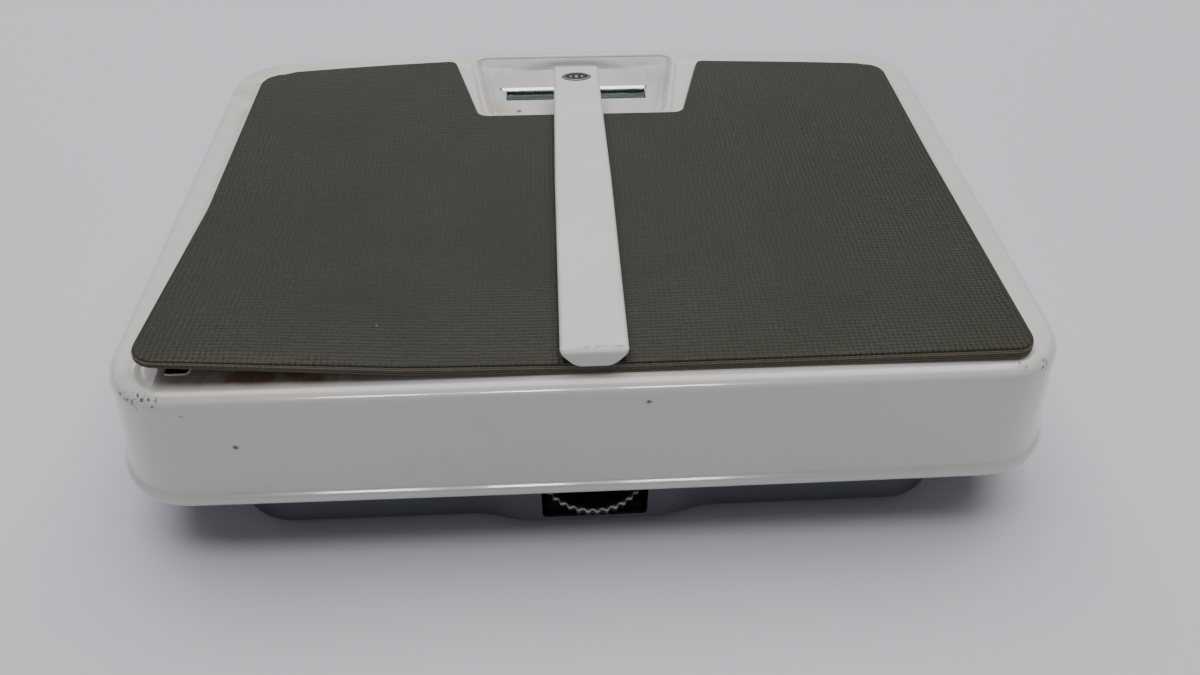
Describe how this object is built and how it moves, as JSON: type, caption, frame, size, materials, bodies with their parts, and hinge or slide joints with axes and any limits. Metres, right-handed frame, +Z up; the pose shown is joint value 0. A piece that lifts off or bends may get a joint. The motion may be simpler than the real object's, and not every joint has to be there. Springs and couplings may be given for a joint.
{
  "type": "mechanical personal weighing scale",
  "caption": "Low mechanical floor scale: enamelled steel platform with ribbed mat, dial window, hinged centre bar and thumb wheel, over a spring-and-lever works in a painted pan.",
  "frame": {"origin": "on the floor under the middle of the cover, which is the bottom centre of the whole object's box", "axes": "+X to the right and along the longest side, +Y away from the user's heels towards the dial window, +Z up"},
  "size_m": [0.315, 0.2152, 0.0833],
  "materials": {
    "white_enamel": "gloss stoved enamel, chipped",
    "bar_white": "satin enamel",
    "mat_vinyl": "fine ribbed, leather-grained vinyl, satin",
    "mat_backing": "matte",
    "window_grey": "gloss",
    "lens_clear": "clear",
    "pointer_red": "matte",
    "badge_dark": "satin",
    "slate_paint": "satin stoved paint",
    "foot_rubber": "matte",
    "zinc_steel": "bright zinc plated",
    "lever_steel": "zinc plated, dull",
    "spring_steel": "oiled",
    "clip_steel": "blackened",
    "brass": "satin",
    "guide_plastic": "matte",
    "wheel_black": "semi-gloss, worn teeth",
    "dial_face": "satin, printed scale"
  },
  "bodies": {
    "base": {"base_pan": "slate_paint", "rubber_feet": "foot_rubber", "spring_frame": "zinc_steel", "spindle_bush": "brass", "rear_fulcrum_brackets": "zinc_steel", "front_fulcrum_brackets": "zinc_steel", "crank_bracket": "zinc_steel", "crank_pivot_pin": "zinc_steel", "dial_bridge": "zinc_steel", "dial_bush": "brass", "rack_guide": "guide_plastic", "base_lugs": "zinc_steel", "bracket_rivets": "zinc_steel", "main_spring": "spring_steel", "rack_spring": "spring_steel", "hold_down_springs": "spring_steel"},
    "platform": {"platform_cover": "white_enamel", "platform_mat": "mat_vinyl", "mat_backing": "mat_backing", "dial_bezel": "window_grey", "dial_lens": "lens_clear", "index_pointer": "pointer_red", "platform_studs": "zinc_steel", "bar_bracket": "zinc_steel", "bar_hinge_pin": "zinc_steel", "cover_lugs": "zinc_steel"},
    "lift_bar": {"centre_bar": "bar_white", "bar_badge": "badge_dark"},
    "zero_adjuster": {"zero_wheel": "wheel_black", "adjusting_spindle": "zinc_steel", "spindle_clip": "clip_steel"},
    "yoke": {"adjusting_yoke": "zinc_steel", "yoke_nut": "brass"},
    "long_lever": {"long_lever_bars": "lever_steel", "long_lever_shaft": "zinc_steel", "shaft_collars": "clip_steel", "long_load_pins": "zinc_steel", "nose_plate": "lever_steel"},
    "short_lever": {"short_lever_bars": "lever_steel", "short_fulcrum_pins": "zinc_steel", "short_load_pins": "zinc_steel", "short_cross_tie": "zinc_steel", "short_tip_pins": "zinc_steel"},
    "crank": {"bell_crank": "lever_steel", "crank_roller": "brass"},
    "rack_carriage": {"rack": "brass"},
    "dial": {"dial_shaft": "zinc_steel", "dial_pinion": "brass", "dial_hub": "guide_plastic", "dial_disc": "dial_face", "dial_shaft_clip": "clip_steel"}
  },
  "joints": [
    {"name": "dial_spin", "type": "hinge", "parent": "base", "child": "dial", "pos_m": [0, 0.012, 0.05], "axis": [0, 0, -1], "range_deg": [0, 321.6]},
    {"name": "platform_press", "type": "slide", "parent": "base", "child": "platform", "axis": [0, 0, -1], "range_m": [0, 0.0012], "stiffness_N_per_m": 981000, "springref_m": -0.00002, "deforming": ["hold_down_springs"]},
    {"name": "long_lever_tilt", "type": "hinge", "parent": "base", "child": "long_lever", "pos_m": [0, 0.078, 0.026], "axis": [1, 0, 0], "range_deg": [0, 4.31], "deforming": ["main_spring"]},
    {"name": "short_lever_tilt", "type": "hinge", "parent": "base", "child": "short_lever", "pos_m": [0, -0.078, 0.038], "axis": [-1, 0, 0], "range_deg": [0, 4.31]},
    {"name": "crank_turn", "type": "hinge", "parent": "base", "child": "crank", "pos_m": [0.0065, -0.04, 0.0318], "axis": [1, 0, 0], "range_deg": [0, 36.1]},
    {"name": "rack_travel", "type": "slide", "parent": "base", "child": "rack_carriage", "axis": [0, -1, 0], "range_m": [0, 0.01405], "deforming": ["rack_spring"]},
    {"name": "zero_wheel_turn", "type": "hinge", "parent": "base", "child": "zero_adjuster", "pos_m": [0, -0.084, 0.01], "axis": [0, 0, 1], "range_deg": [-722, 722]},
    {"name": "yoke_travel", "type": "slide", "parent": "base", "child": "yoke", "axis": [0, 0, 1], "range_m": [-0.002, 0.002]},
    {"name": "bar_lift", "type": "hinge", "parent": "platform", "child": "lift_bar", "pos_m": [0, 0.066, 0.0798], "axis": [-1, 0, 0], "range_deg": [0, 95]}
  ],
  "couplings": [
    {"joint": "dial_spin", "follows": "platform_press", "rad_per_m": 4676},
    {"joint": "long_lever_tilt", "follows": "platform_press", "rad_per_m": 62.5},
    {"joint": "short_lever_tilt", "follows": "platform_press", "rad_per_m": 62.5},
    {"joint": "crank_turn", "follows": "platform_press", "rad_per_m": 523.6},
    {"joint": "rack_travel", "follows": "platform_press", "ratio": 11.69},
    {"joint": "zero_wheel_turn", "follows": "yoke_travel", "rad_per_m": -6283.2}
  ]
}
